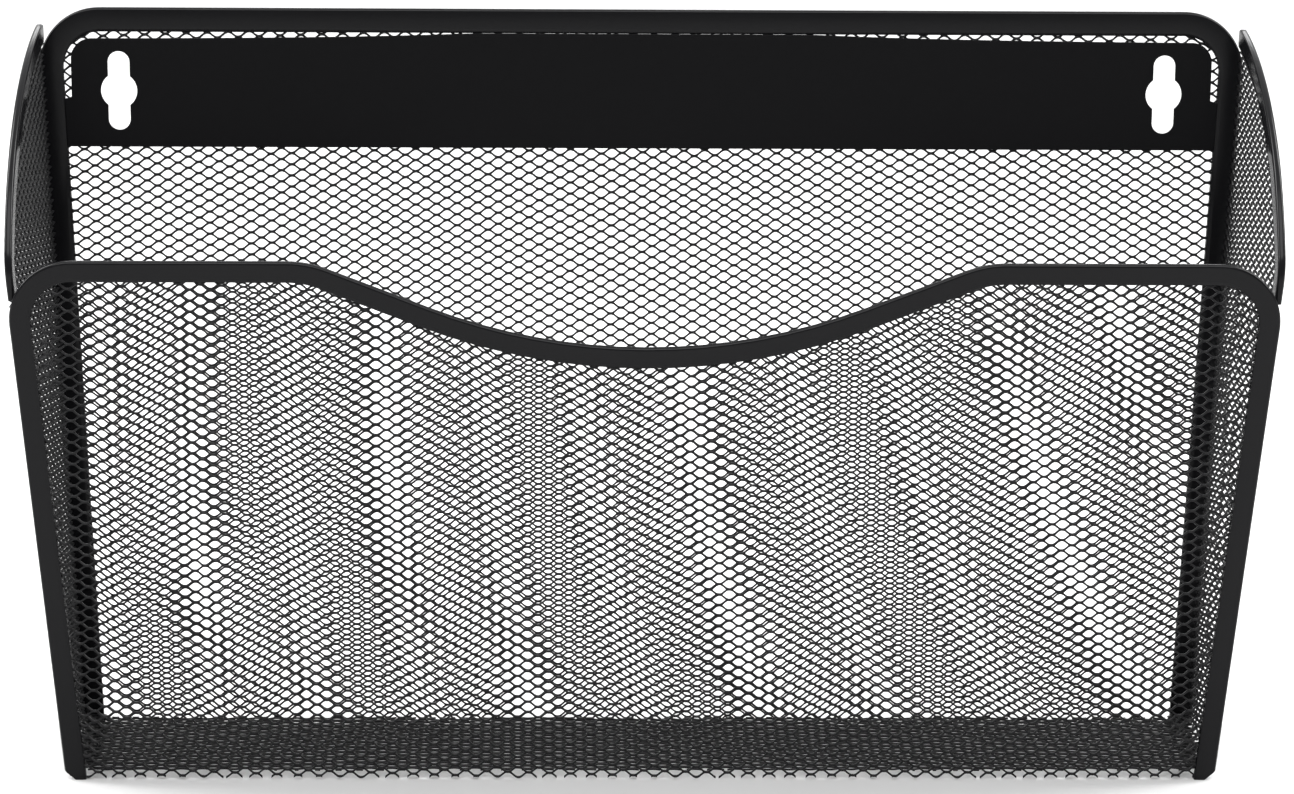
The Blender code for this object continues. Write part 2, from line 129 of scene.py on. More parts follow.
BOTTOM_SHEET_REAR_GAP = 0.9 * MM        # from its edges to the middle of the back sheet,
BOTTOM_SHEET_FRONT_GAP = 1.8 * MM       # the front rim's face
BOTTOM_SHEET_SIDE_GAP = 2.4 * MM        # and the rims' outer edges
BACK_PIECE_LEVELS = [75.0 * MM, 150.0 * MM]     # where a large panel's mesh is split into pieces
FRONT_PIECE_LEVELS = [78.0 * MM]

# Smoothness of curves.
ARC_STEP = math.radians(3.0)
LARGE_ARC_STEP = math.radians(1.5)
FOLD_STEPS = 7
SHARP_EDGE = math.radians(50)
SAME_POINT = 0.01 * MM
PROBE = 0.1 * MM                        # step used to find a direction on a side panel

# Worked out from the above.
RIM_LIP_HEIGHT = BACK_HEIGHT - BACK_CHANNEL_WIDTH - 0.05 * MM

TOP_DEPTH = POCKET_DEPTH + FRONT_LEAN * FRONT_HEIGHT
BACK_FACE_Y = WALL_Y - CHANNEL_THICKNESS
BACK_MIDDLE_Y = WALL_Y - CHANNEL_THICKNESS / 2
LEAN_ANGLE = math.atan(FRONT_LEAN)


# ---------------------------------------------------------------- outlines in a plane

def arc(centre, radius, start, end, step=ARC_STEP):
    """Points along an arc, from angle start to angle end."""
    steps = max(2, math.ceil(abs(end - start) / step))
    angles = [start + (end - start) * i / steps for i in range(steps + 1)]
    return [Vector((centre[0] + radius * math.cos(a), centre[1] + radius * math.sin(a)))
            for a in angles]


def join_points(*runs):
    """Join runs of points, leaving out a point that repeats the one before it."""
    path = []
    for run in runs:
        for point in run:
            if not path or (point - path[-1]).length > SAME_POINT:
                path.append(point)
    return path


def mirrored(run):
    """The same run of points on the other side of the middle plane, in reverse order."""
    return [Vector((-point.x, point.y)) for point in reversed(run)]


def left_leg_and_corner(half_width, flare, height):
    """Up the left leg and round its corner, ending on the top edge."""
    slant = math.atan(flare)
    centre_height = height - CORNER_RADIUS
    tangent_height = centre_height - CORNER_RADIUS * math.sin(slant)
    tangent_x = -(half_width + flare * tangent_height)
    centre = (tangent_x + CORNER_RADIUS * math.cos(slant), centre_height)
    return [Vector((-half_width, 0.0))] + arc(centre, CORNER_RADIUS, math.pi + slant, math.pi / 2)


def back_outline():
    """Outer edge of the back, from the left foot over the top to the right foot."""
    left = left_leg_and_corner(BACK_HALF_WIDTH, BACK_FLARE, BACK_HEIGHT)
    return join_points(left, mirrored(left))


def front_outline():
    """Outer edge of the front, in the slope of the panel, with the dip along its top."""
    height = FRONT_HEIGHT / math.cos(LEAN_ANGLE)
    flare = FRONT_FLARE * math.cos(LEAN_ANGLE)
    left = left_leg_and_corner(FRONT_HALF_WIDTH, flare, height)
    straight = DIP_HALF_WIDTH * math.sin(DIP_SLOPE) - DIP_DEPTH * math.cos(DIP_SLOPE)
    dip_radius = straight / (1 - math.cos(DIP_SLOPE)) - DIP_SHOULDER_RADIUS
    shoulder = arc((-DIP_HALF_WIDTH, height - DIP_SHOULDER_RADIUS), DIP_SHOULDER_RADIUS,
                   math.pi / 2, math.pi / 2 - DIP_SLOPE)
    dip = arc((0.0, height - DIP_DEPTH + dip_radius), dip_radius,
              1.5 * math.pi - DIP_SLOPE, 1.5 * math.pi)
    half = join_points(left, shoulder, dip)
    return join_points(half, mirrored(half))


def inward_normals(path):
    """Unit normals on the right of a path that runs clockwise, so they point inwards."""
    normals = []
    for i in range(len(path)):
        before = path[max(i - 1, 0)]
        after = path[min(i + 1, len(path) - 1)]
        along = Vector((0.0, 0.0))
        if (path[i] - before).length > 0:
            along += (path[i] - before).normalized()
        if (after - path[i]).length > 0:
            along += (after - path[i]).normalized()
        along.normalize()
        normals.append(Vector((along.y, -along.x)))
    return normals


def inset(path, distance):
    return [point + normal * distance for point, normal in zip(path, inward_normals(path))]


def keyhole_outline(margin=0.0):
    """A keyhole with a round middle and a slot above and below, about its own centre."""
    bore = KEYHOLE_BORE_RADIUS + margin
    slot = KEYHOLE_SLOT_HALF_WIDTH + margin
    slot_end = KEYHOLE_HALF_HEIGHT - KEYHOLE_SLOT_HALF_WIDTH
    meet = math.acos(slot / bore)
    half = arc((0.0, 0.0), bore, -meet, meet) + arc((0.0, slot_end), slot, 0.0, math.pi)
    return half + [Vector((-point.x, -point.y)) for point in half]


def keyhole_centres():
    return [Vector((side * KEYHOLE_SPACING / 2, KEYHOLE_CENTRE_HEIGHT)) for side in (-1, 1)]


# ---------------------------------------------------------------- surfaces that the panels follow

def on_back(x, height, offset):
    """The back panel's middle plane. Offset is towards the room."""
    return np.stack([x, BACK_MIDDLE_Y - offset, height + 0 * x], axis=-1)


def on_front(x, slope, offset):
    """The front panel's middle plane. Slope is measured up it, and offset is outwards."""
    across = offset - CHANNEL_THICKNESS / 2
    y = BACK_FACE_Y - POCKET_DEPTH - slope * math.sin(LEAN_ANGLE) - across * math.cos(LEAN_ANGLE)
    z = slope * math.cos(LEAN_ANGLE) - across * math.sin(LEAN_ANGLE)
    return np.stack([x + 0 * y, y, z], axis=-1)


def on_bottom(x, y, offset):
    """The bottom sheet's middle plane. Offset is upwards."""
    return np.stack([x, y + 0 * x, BOTTOM_HEIGHT + offset], axis=-1)


def side_front_depth(height, gap):
    """Depth of the front leg's rear face at a height, less a gap."""
    return POCKET_DEPTH + FRONT_LEAN * height - CHANNEL_THICKNESS / math.cos(LEAN_ANGLE) - gap


def side_waist(side, share, height):
    """How far a side panel is drawn in, which is most in the right one's lower rear part."""
    waist = RIGHT_WAIST if side > 0 else 0.0
    low = np.clip((WAIST_TOP - height) / WAIST_FADE, 0.0, 1.0) * np.clip(height / WAIST_FADE, 0.0, 1.0)
    across = np.clip(share, 0.0, 1.0)
    return waist * low * WAIST_PEAK * across * (1.0 - across) ** 2


def on_side(side, depth, height, offset):
    """A side panel's middle surface, stretched between the back and front legs.

    Depth is forward of the back rim's front face, and offset is outwards.
    """
    back = BACK_HALF_WIDTH + BACK_FLARE * height
    front = FRONT_HALF_WIDTH + FRONT_FLARE * height
    share = depth / (POCKET_DEPTH + FRONT_LEAN * height)
    half_width = back + (front - back) * share - CHANNEL_THICKNESS / 2 - side_waist(side, share, height)
    return np.stack([side * (half_width + offset), BACK_FACE_Y - depth, height + 0 * depth], axis=-1)


def on_side_and_flange(side, depth, height, offset):
    """A side panel's surface, folded in over the bottom sheet below its foot."""
    foot = BOTTOM_HEIGHT + BOTTOM_GAP + FOLD_BEND_RADIUS
    turned = np.clip((foot - height) / FOLD_BEND_RADIUS, 0.0, math.pi / 2)
    straight = np.maximum(foot - height - FOLD_BEND_RADIUS * math.pi / 2, 0.0)
    upright = on_side(side, depth, np.maximum(height, foot), offset)
    radius = FOLD_BEND_RADIUS + offset
    folded = on_side(side, depth, np.full_like(height, foot), 0 * offset)
    folded[..., 0] -= side * (FOLD_BEND_RADIUS - radius * np.cos(turned) + straight)
    folded[..., 2] -= radius * np.sin(turned)
    return np.where((height < foot)[..., None], folded, upright)


def side_top_outline():
    """The side channel's outer edge as (depth, height), from its rear tip to the front leg."""
    start = math.pi / 2 - SIDE_TOP_SLOPE
    tip = Vector((CLEARANCE, SIDE_TOP))
    centre = tip - Vector((math.cos(start), math.sin(start))) * SIDE_TOP_RADIUS
    up_leg = Vector((math.sin(LEAN_ANGLE), math.cos(LEAN_ANGLE)))
    inward = Vector((-up_leg.y, up_leg.x))
    foot = Vector((side_front_depth(0.0, CLEARANCE), 0.0))
    across = foot + inward * SIDE_CORNER_RADIUS - centre
    between_centres = SIDE_TOP_RADIUS - SIDE_CORNER_RADIUS
    rise = across.dot(up_leg)
    climb = math.sqrt(rise ** 2 - across.length_squared + between_centres ** 2) - rise
    corner = across + up_leg * climb
    meet = math.atan2(corner.y, corner.x)
    fall = arc(centre, SIDE_TOP_RADIUS, start, meet, LARGE_ARC_STEP)
    bend = arc(centre + corner, SIDE_CORNER_RADIUS, meet, -LEAN_ANGLE)
    return join_points(fall, bend, [bend[-1] - up_leg * SIDE_TAIL])


# ---------------------------------------------------------------- meshes

def make_piece(name, points, faces, material, replaced=()):
    """A mesh piece from arrays of corners and of faces with the same number of corners each."""
    faces = np.asarray(faces, dtype=np.int32)
    mesh = bpy.data.meshes.new(name)
    mesh.vertices.add(len(points))
    mesh.vertices.foreach_set("co", np.asarray(points, dtype=np.float32).ravel())
    mesh.loops.add(faces.size)
    mesh.loops.foreach_set("vertex_index", faces.ravel())
    mesh.polygons.add(len(faces))
    mesh.polygons.foreach_set("loop_start", np.arange(0, faces.size, faces.shape[1], dtype=np.int32))
    mesh.update(calc_edges=True)
    mesh.validate()
    return dress(bpy.data.objects.new(name, mesh), material, replaced)


def dress(piece, material, replaced):
    """Put a piece in the scene with its material and body, and hide the CAD nodes it stands for."""
    bpy.context.scene.collection.objects.link(piece)
    piece.data.materials.append(material)
    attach(piece, "root")
    if replaced:
        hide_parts(*replaced)
    return piece


# ---------------------------------------------------------------- expanded metal

def inside_polygon(polygon, u, v):
    """Which of the points (u, v) are inside a closed polygon."""
    inside = np.zeros(np.shape(u), dtype=bool)
    for a, b in zip(polygon, polygon[1:] + polygon[:1]):
        if a.y == b.y:
            continue
        crosses = (a.y > v) != (b.y > v)
        inside ^= crosses & (u < a.x + (b.x - a.x) * (v - a.y) / (b.y - a.y))
    return inside


def inside_panel(outline, holes, u, v):
    inside = inside_polygon(outline, u, v)
    for hole in holes:
        inside &= ~inside_polygon(hole, u, v)
    return inside


def strand_wave(half):
    """One half diamond of a strand as (distance along, share of the rise), from bond to bond."""
    run = half - BOND_LENGTH
    start = BOND_LENGTH / 2
    rise = BOND_ROUNDING / run
    return [(start - BOND_ROUNDING, 0.0), (start + BOND_ROUNDING, rise),
            (half - start - BOND_ROUNDING, 1.0 - rise), (half - start + BOND_ROUNDING, 1.0)]


def strand_lines(outline, grain):
    """Centre lines of all the strands that cover an outline, as arrays [strand, point] of u, v, n."""
    low = np.array([min(p.x for p in outline), min(p.y for p in outline)])
    high = np.array([max(p.x for p in outline), max(p.y for p in outline)])
    reach = float(np.linalg.norm(high - low)) / 2 + DIAMOND_LENGTH
    middle = (low + high) / 2 - np.array(grain["centre"])
    half_length = grain["length"] / 2
    half_height = grain["height"] / 2
    along = np.array([math.cos(grain["row_tilt"]), math.sin(grain["row_tilt"])])
    up = np.array([-math.sin(grain["column_tilt"]), math.cos(grain["column_tilt"])])
    columns = np.arange(math.floor((middle @ along - reach) / half_length),
                        math.ceil((middle @ along + reach) / half_length))
    rows = np.arange(math.floor((middle @ up - reach) / half_height),
                     math.ceil((middle @ up + reach) / half_height))
    half_gap = (grain["width"] - STRAND_OVERLAP) / 2
    sideways = half_gap * math.cos(grain["roll"])
    outwards = half_gap * math.sin(grain["roll"])
    distance = []
    share = []
    for along_half, rise in strand_wave(half_length):
        distance.append(columns * half_length + along_half)
        rising = ((columns[None, :] + rows[:, None]) % 2 == 0)
        share.append(np.where(rising, rise, 1.0 - rise))
    distance = np.stack(distance, axis=-1).ravel()
    share = np.stack(share, axis=-1).reshape(len(rows), -1)
    height = rows[:, None] * half_height + sideways + share * (half_height - 2 * sideways)
    du = distance[None, :] * along[0] + height * up[0]
    dv = distance[None, :] * along[1] + height * up[1]
    u = grain["centre"][0] + du + grain["column_bow"] * dv ** 2 / 2
    v = grain["centre"][1] + dv + grain["row_bow"] * du ** 2 / 2 + grain["fan"] * du * dv
    n = outwards * (1.0 - 2.0 * share)
    return u, v, n


def trimmed_runs(line, inside, panel):
    """Cut one strand's centre line where it crosses the panel's edge. Gives the runs inside."""
    runs = []
    starts = np.flatnonzero(inside & ~np.roll(inside, 1))
    for start in starts:
        end = start
        while end + 1 < len(inside) and inside[end + 1]:
            end += 1
        run = line[start:end + 1]
        if start > 0:
            run = np.vstack([crossing(line[start], line[start - 1], panel), run])
        if end + 1 < len(inside):
            run = np.vstack([run, crossing(line[end], line[end + 1], panel)])
        runs.append(run)
    return runs


def crossing(within, beyond, panel):
    """The point between two on a strand where the panel ends."""
    low = 0.0
    high = 1.0
    for _ in range(10):
        middle = (low + high) / 2
        point = within + (beyond - within) * middle
        if panel(point[0], point[1]):
            low = middle
        else:
            high = middle
    return within + (beyond - within) * low


def strand_section(grain):
    """Corners of a strand's cross-section, as offsets in u, v and n."""
    wide = grain["width"] / 2
    thick = grain["thickness"] / 2
    roll = grain["roll"]
    row_tilt = grain["row_tilt"]
    corners = [(-wide, -thick), (wide, -thick), (wide, thick), (-wide, thick)]
    offsets = []
    for across, through in corners:
        rise = across * math.cos(roll) - through * math.sin(roll)
        outwards = across * math.sin(roll) + through * math.cos(roll)
        offsets.append((-rise * math.sin(row_tilt), rise * math.cos(row_tilt), outwards))
    return np.array(offsets)


def expanded_metal(name, place, outline, holes, grain, material, replaced):
    """A panel of expanded metal. Its strands are cut off clean at the outline and the holes."""
    u, v, n = strand_lines(outline, grain)
    inside = inside_panel(outline, holes, u, v)
    section = strand_section(grain)
    corners = len(section)

    def panel(a, b):
        return inside_panel(outline, holes, np.array(a), np.array(b))

    points = []
    faces = []
    count = 0
    ring = np.arange(corners)
    around = np.stack([ring, np.roll(ring, -1)], axis=-1)
    for row in range(len(u)):
        if not inside[row].any():
            continue
        line = np.stack([u[row], v[row], n[row]], axis=-1)
        for run in trimmed_runs(line, inside[row], panel):
            cloud = run[:, None, :] + section[None, :, :]
            points.append(cloud.reshape(-1, 3))
            steps = count + corners * np.arange(len(run) - 1)
            quads = np.stack([around[:, 0], around[:, 1], around[:, 1] + corners,
                              around[:, 0] + corners], axis=-1)
            faces.append((steps[:, None, None] + quads[None]).reshape(-1, 4))
            last = count + corners * (len(run) - 1)
            faces.append([[count + 3, count + 2, count + 1, count],
                          [last, last + 1, last + 2, last + 3]])
            count += corners * len(run)
    cloud = np.concatenate(points)
    placed = place(cloud[:, 0], cloud[:, 1], cloud[:, 2])
    return make_piece(name, placed, np.concatenate(faces), material, replaced)


def split_outline(outline, low, high):
    """The part of a closed outline between two levels of v."""
    def cut(path, level, keep_above):
        kept = []
        for a, b in zip(path, path[1:] + path[:1]):
            a_in = (a.y >= level) == keep_above
            b_in = (b.y >= level) == keep_above
            if a_in:
                kept.append(a)
            if a_in != b_in:
                kept.append(a.lerp(b, (level - a.y) / (b.y - a.y)))
        return kept
    return cut(cut(outline, low, True), high, False)


# ---------------------------------------------------------------- channels

def channel_section(width, stops):
    """The U section as (distance in from the spine, distance across), going round it once."""
    half = CHANNEL_THICKNESS / 2
    inner = half - CHANNEL_WALL
    bends = [i / FOLD_STEPS * math.pi / 2 for i in range(FOLD_STEPS + 1)]
    crimp_start = width - CRIMP_LENGTH
    flat = sorted([stop for stop in stops if FOLD_RADIUS < stop < crimp_start] + [crimp_start])
    outside = [(FOLD_RADIUS * (1 - math.cos(a)), FOLD_RADIUS * (1 - math.sin(a)) - half)
               for a in bends]
    outside += [(stop, -half) for stop in flat]
    outside += [(width - LIP_BEVEL, CRIMP_DEPTH - half), (width, CRIMP_DEPTH + LIP_BEVEL - half)]
    inside = [(width, CRIMP_DEPTH - LIP_BEVEL - inner), (width - LIP_BEVEL, CRIMP_DEPTH - inner)]
    inside += [(stop, -inner) for stop in reversed(flat)]
    inside += [(CHANNEL_WALL, -inner)]
    lower = outside + inside
    return lower + [(u, -v) for u, v in reversed(lower)]


def sweep(stations, section, start_cut, end_cut):
    """Points and faces of a section carried along stations, trimmed by a function at each end."""
    rings = []
    last = len(stations) - 1
    for i, (point, inward, across, along) in enumerate(stations):
        for u, v in section:
            place = point + inward * u + across * v
            if i == 0:
                place = start_cut(place, u, along)
            if i == last:
                place = end_cut(place, u, along)
            rings.append(place)
    count = len(section)
    faces = []
    for i in range(last):
        for j in range(count):
            k = (j + 1) % count
            faces.append((i * count + j, i * count + k, (i + 1) * count + k, (i + 1) * count + j))
    half = count // 2
    for base, flip in ((0, True), (last * count, False)):
        for j in range(half - 1):
            cap = (base + j, base + j + 1, base + count - 2 - j, base + count - 1 - j)
            faces.append(tuple(reversed(cap)) if flip else cap)
    return rings, faces


def flat_stations(path, place):
    """Stations for a channel round a flat panel."""
    def point_at(x, height, offset):
        return Vector(place(np.array([x]), np.array([height]), np.array([offset]))[0])
    origin = point_at(0.0, 0.0, 0.0)
    right = point_at(1.0, 0.0, 0.0) - origin
    up = point_at(0.0, 1.0, 0.0) - origin
    across = point_at(0.0, 0.0, 1.0) - origin
    stations = []
    for point, normal in zip(path, inward_normals(path)):
        inward = right * normal.x + up * normal.y
        along = right * -normal.y + up * normal.x
        stations.append((point_at(point.x, point.y, 0.0), inward, across, along))
    return stations


def side_stations(side):
    """Stations for a side channel, which follows the slight twist of its panel."""
    def point_at(point):
        return Vector(on_side(side, np.array([point.x]), np.array([point.y]), np.zeros(1))[0])
    path = side_top_outline()
    stations = []
    for point, normal in zip(path, inward_normals(path)):
        place = point_at(point)
        along = (point_at(point + Vector((-normal.y, normal.x)) * PROBE) - place).normalized()
        inward = (point_at(point + normal * PROBE) - place).normalized()
        across = inward.cross(along).normalized()
        stations.append((place, inward, across, along))
    return stations


def uncut(place, distance_in, along):
    return place


def level_foot(place, distance_in, along):
    """Slide a point along the channel to the floor."""
    return place - along * (place.z / along.z)


def chamfered_foot(place, distance_in, along):
    """Slide a point along the channel to the floor, or to the chamfer at its outer corner."""
    target = max(0.0, FOOT_CHAMFER - distance_in)
    return place + along * ((target - place.z) / along.z)


def rounded_tip(place, distance_in, along):
    """Slide a point to just in front of the back rim, with the upper corner rounded."""
    reach = max(0.0, TIP_RADIUS - distance_in)
    rounding = TIP_RADIUS - math.sqrt(TIP_RADIUS ** 2 - reach ** 2)
    target = BACK_FACE_Y - CLEARANCE - rounding
    return place + along * ((target - place.y) / along.y)


def make_channel(name, stations, width, stops, start_cut, end_cut, material, replaced):
    rings, faces = sweep(stations, channel_section(width, stops), start_cut, end_cut)
    piece = make_piece(name, rings, faces, material, replaced)
    piece.data.shade_smooth()
    piece.data.set_sharp_from_angle(angle=SHARP_EDGE)


# ---------------------------------------------------------------- the pieces

def make_grain(centre, length, height, row_tilt, column_tilt, roll, width=STRAND_WIDTH,
               thickness=STRAND_THICKNESS, row_bow=0.0, column_bow=0.0, fan=0.0):
    """How the diamonds of a panel run. Tilts and roll are in degrees, bows and fan in radians
    per metre."""
    return {"centre": centre, "length": length, "height": height,
            "row_tilt": math.radians(row_tilt), "column_tilt": math.radians(column_tilt),
            "roll": math.radians(roll), "width": width, "thickness": thickness,
            "row_bow": row_bow, "column_bow": column_bow, "fan": fan}


BACK_GRAIN = make_grain((0.0, 100.0 * MM), 6.09 * MM, 3.325 * MM, 2.2, -0.1, 70.0)
# Fitted so that its bands with the back panel's lattice fall as in the photograph.
FRONT_GRAIN = make_grain((-5.98 * MM, 77.97 * MM), 6.1085 * MM, 3.2711 * MM, -1.89, -0.2, 70.0,
                         row_bow=0.112, column_bow=0.247, fan=-0.047)
BOTTOM_GRAIN = make_grain((-5.98 * MM, 0.0), 6.1085 * MM, 3.2711 * MM, 0.5, 0.0, 20.0,
                          0.46 * MM, 0.4 * MM)
LEFT_GRAIN = make_grain((30.0 * MM, 100.0 * MM), DIAMOND_LENGTH, DIAMOND_HEIGHT, 8.0, 0.0, 75.0,
                        0.9 * MM, 0.45 * MM)
RIGHT_GRAIN = make_grain((30.0 * MM, 100.0 * MM), DIAMOND_LENGTH, DIAMOND_HEIGHT, 10.0, 0.0, 60.0,
                         0.62 * MM, 0.45 * MM)


def build_back_lattice(material):
    edge = inset(back_outline(), PANEL_INSET)
    edge[0].y = FRONT_SHEET_FOOT
    edge[-1].y = FRONT_SHEET_FOOT
    holes = [[point + centre for point in keyhole_outline(KEYHOLE_MARGIN)]
             for centre in keyhole_centres()]
    levels = [FRONT_SHEET_FOOT] + BACK_PIECE_LEVELS + [BACK_HEIGHT]
    for i, (low, high) in enumerate(zip(levels, levels[1:])):
        expanded_metal("back_lattice_%d" % (i + 1), on_back, split_outline(edge, low, high), holes,
                       BACK_GRAIN, material, ["back_mesh"])


def build_front_lattice(material):
    edge = inset(front_outline(), PANEL_INSET)
    edge[0].y = FRONT_SHEET_FOOT
    edge[-1].y = FRONT_SHEET_FOOT
    levels = [FRONT_SHEET_FOOT] + FRONT_PIECE_LEVELS + [BACK_HEIGHT]
    for i, (low, high) in enumerate(zip(levels, levels[1:])):
        expanded_metal("front_lattice_%d" % (i + 1), on_front, split_outline(edge, low, high), [],
                       FRONT_GRAIN, material, ["front_mesh"])


def build_bottom_lattice(material):
    """The bottom sheet, level and a little above the floor, from the front sheet to the back."""
    rear = BACK_MIDDLE_Y - BOTTOM_SHEET_REAR_GAP
    front = BACK_FACE_Y - POCKET_DEPTH + BOTTOM_SHEET_FRONT_GAP
    front_half = FRONT_HALF_WIDTH - BOTTOM_SHEET_SIDE_GAP
    rear_half = BACK_HALF_WIDTH - BOTTOM_SHEET_SIDE_GAP
    inner = BACK_HALF_WIDTH - BACK_CHANNEL_WIDTH
    right = [Vector((inner, rear)), Vector((inner, BACK_FACE_Y - CLEARANCE)),
             Vector((rear_half, BACK_FACE_Y - CLEARANCE)), Vector((front_half, front))]
    outline = right + mirrored(right)
    expanded_metal("bottom_lattice", on_bottom, outline, [], BOTTOM_GRAIN, material,
                   ["bottom_mesh"])


def build_side_lattice(side, name, grain, material, replaced):
    edge = inset(side_top_outline(), PANEL_INSET)
    foot = BOTTOM_HEIGHT + BOTTOM_GAP + FOLD_BEND_RADIUS * (1.0 - math.pi / 2)
    bottom = foot - FLANGE_WIDTH + FOLD_BEND_RADIUS
    tail = edge[-1]
    below_tail = tail.y - 1.0 * MM
    edge[0] = Vector((SIDE_SHEET_GAP, edge[0].y))
    leg = [Vector((side_front_depth(below_tail, SIDE_SHEET_GAP), below_tail)),
           Vector((side_front_depth(0.0, SIDE_SHEET_GAP), 0.0)),
           Vector((side_front_depth(0.0, SIDE_SHEET_GAP), bottom)), Vector((SIDE_SHEET_GAP, bottom))]
    outline = edge + leg

    def place(depth, height, offset):
        return on_side_and_flange(side, depth, height, offset)

    expanded_metal(name, place, outline, [], grain, material, [replaced])


def rim_inner_half_width(height):
    """From the middle plane to the inner edge of the back channel."""
    return BACK_HALF_WIDTH + BACK_FLARE * height - BACK_CHANNEL_WIDTH


def plate_top(x):
    """Height of the plate's upper edge. Its middle is tucked up under the rim."""
    beyond = max(0.0, abs(x) - PLATE_TUCKED_HALF_WIDTH)
    return RIM_LIP_HEIGHT - PLATE_GAP * (1.0 - math.exp(-beyond / PLATE_GAP_RUN))


def build_plate(material):
    """The mounting plate, as an extruded outline with eased edges."""
    radius = PLATE_CORNER_RADIUS
    left = [Vector((-rim_inner_half_width(PLATE_BOTTOM), PLATE_BOTTOM)),
            Vector((-rim_inner_half_width(PLATE_EAR_TOP), PLATE_EAR_TOP - 2 * CLEARANCE)),
            Vector((-PLATE_HALF_WIDTH, PLATE_EAR_TOP))]
    start = -PLATE_HALF_WIDTH + radius
    left += arc((start, plate_top(start) - radius), radius, math.pi, math.pi / 2)
    across = [start * (1 - i / PLATE_TOP_STEPS) for i in range(1, PLATE_TOP_STEPS)]
    left += [Vector((x, plate_top(x))) for x in across]
    left += [Vector((0.0, plate_top(0.0)))]
    outline = join_points(left, mirrored(left))
    holes = [[point + centre for point in keyhole_outline()] for centre in keyhole_centres()]
    shape = bpy.data.curves.new("plate_outline", "CURVE")
    shape.dimensions = "2D"
    shape.fill_mode = "BOTH"
    shape.extrude = (PLATE_BACK_Y - PLATE_FRONT_Y) / 2 - PLATE_EDGE
    shape.bevel_depth = PLATE_EDGE
    shape.bevel_resolution = 2
    shape.offset = -PLATE_EDGE
    for loop in [outline] + holes:
        spline = shape.splines.new("POLY")
        spline.points.add(len(loop) - 1)
        for corner, point in zip(spline.points, loop):
            corner.co = (point.x, point.y, 0.0, 1.0)
        spline.use_cyclic_u = True
    guide = bpy.data.objects.new("plate_guide", shape)
    bpy.context.scene.collection.objects.link(guide)
    graph = bpy.context.evaluated_depsgraph_get()
    mesh = bpy.data.meshes.new_from_object(guide.evaluated_get(graph))
    bpy.data.objects.remove(guide)
    stand = Matrix.Rotation(math.pi / 2, 4, "X")
    mesh.transform(Matrix.Translation((0.0, (PLATE_FRONT_Y + PLATE_BACK_Y) / 2, 0.0)) @ stand)
    mesh.name = "keyhole_plate"
    dress(bpy.data.objects.new("keyhole_plate", mesh), material, ["mounting_plate"])
    mesh.shade_smooth()
    mesh.set_sharp_from_angle(angle=SHARP_EDGE)


def build_channels(material):
    make_channel("back_channel", flat_stations(back_outline(), on_back), BACK_CHANNEL_WIDTH, [],
                 level_foot, level_foot, material, ["back_rim"])
    make_channel("front_channel", flat_stations(front_outline(), on_front), FRONT_CHANNEL_WIDTH,
                 [FOOT_CHAMFER], chamfered_foot, chamfered_foot, material, ["front_rim"])
    tip_stops = [TIP_RADIUS * share for share in (0.5, 0.65, 0.8, 1.0)]
    for side, word in ((-1, "left"), (1, "right")):
        make_channel(word + "_side_channel", side_stations(side), SIDE_CHANNEL_WIDTH, tip_stops,
                     rounded_tip, uncut, material, [word + "_side_rim"])


# ---------------------------------------------------------------- materials

GLOSS_SPREAD = 0.06                     # how much the roughness of a patterned coat varies

def add_node(tree, kind, **inputs):
    node = tree.nodes.new(kind)
    for name, value in inputs.items():
        node.inputs[name.replace("_", " ")].default_value = value
    return node


def powder_coat(name, colour, roughness, shine, patterned):
    """Black powder coat: a fine orange peel, and slight changes of gloss where patterned."""
    material = bpy.data.materials.new(name)
    material.use_nodes = True
    tree = material.node_tree
    shader = tree.nodes["Principled BSDF"]
    shader.inputs["Base Color"].default_value = (*colour, 1.0)
    shader.inputs["Roughness"].default_value = roughness
    shader.inputs["Metallic"].default_value = 0.0
    shader.inputs["Specular IOR Level"].default_value = shine
    coordinates = tree.nodes.new("ShaderNodeTexCoord")
    peel = add_node(tree, "ShaderNodeTexNoise", Scale=1500.0, Detail=3.0, Roughness=0.55)
    tree.links.new(coordinates.outputs["Object"], peel.inputs["Vector"])
    bump = add_node(tree, "ShaderNodeBump", Strength=0.35, Distance=0.02 * MM)
    tree.links.new(peel.outputs["Fac"], bump.inputs["Height"])
    tree.links.new(bump.outputs["Normal"], shader.inputs["Normal"])
    if patterned:
        cloud = add_node(tree, "ShaderNodeTexNoise", Scale=60.0, Detail=4.0, Roughness=0.6)
        tree.links.new(coordinates.outputs["Object"], cloud.inputs["Vector"])
        gloss = tree.nodes.new("ShaderNodeMapRange")
        gloss.inputs["To Min"].default_value = roughness - GLOSS_SPREAD
        gloss.inputs["To Max"].default_value = roughness + GLOSS_SPREAD
        tree.links.new(cloud.outputs["Fac"], gloss.inputs["Value"])
        tree.links.new(gloss.outputs["Result"], shader.inputs["Roughness"])
    return material


def plain_surface(name, colour, roughness):
    material = bpy.data.materials.new(name)
    material.use_nodes = True
    shader = material.node_tree.nodes["Principled BSDF"]
    shader.inputs["Base Color"].default_value = (*colour, 1.0)
    shader.inputs["Roughness"].default_value = roughness
    return material


# ---------------------------------------------------------------- stage, light and camera

FLOOR_SIZE = 12.0
CAMERA_PLACE = (-24.8 * MM, -1133.9 * MM, 367.6 * MM)
CAMERA_DOWN = math.radians(12.733)
CAMERA_YAW = math.radians(1.304)
CAMERA_ROLL = math.radians(0.42)
SENSOR_WIDTH = 36.0
LENS = 111.865
WORLD_STRENGTH = 0.45

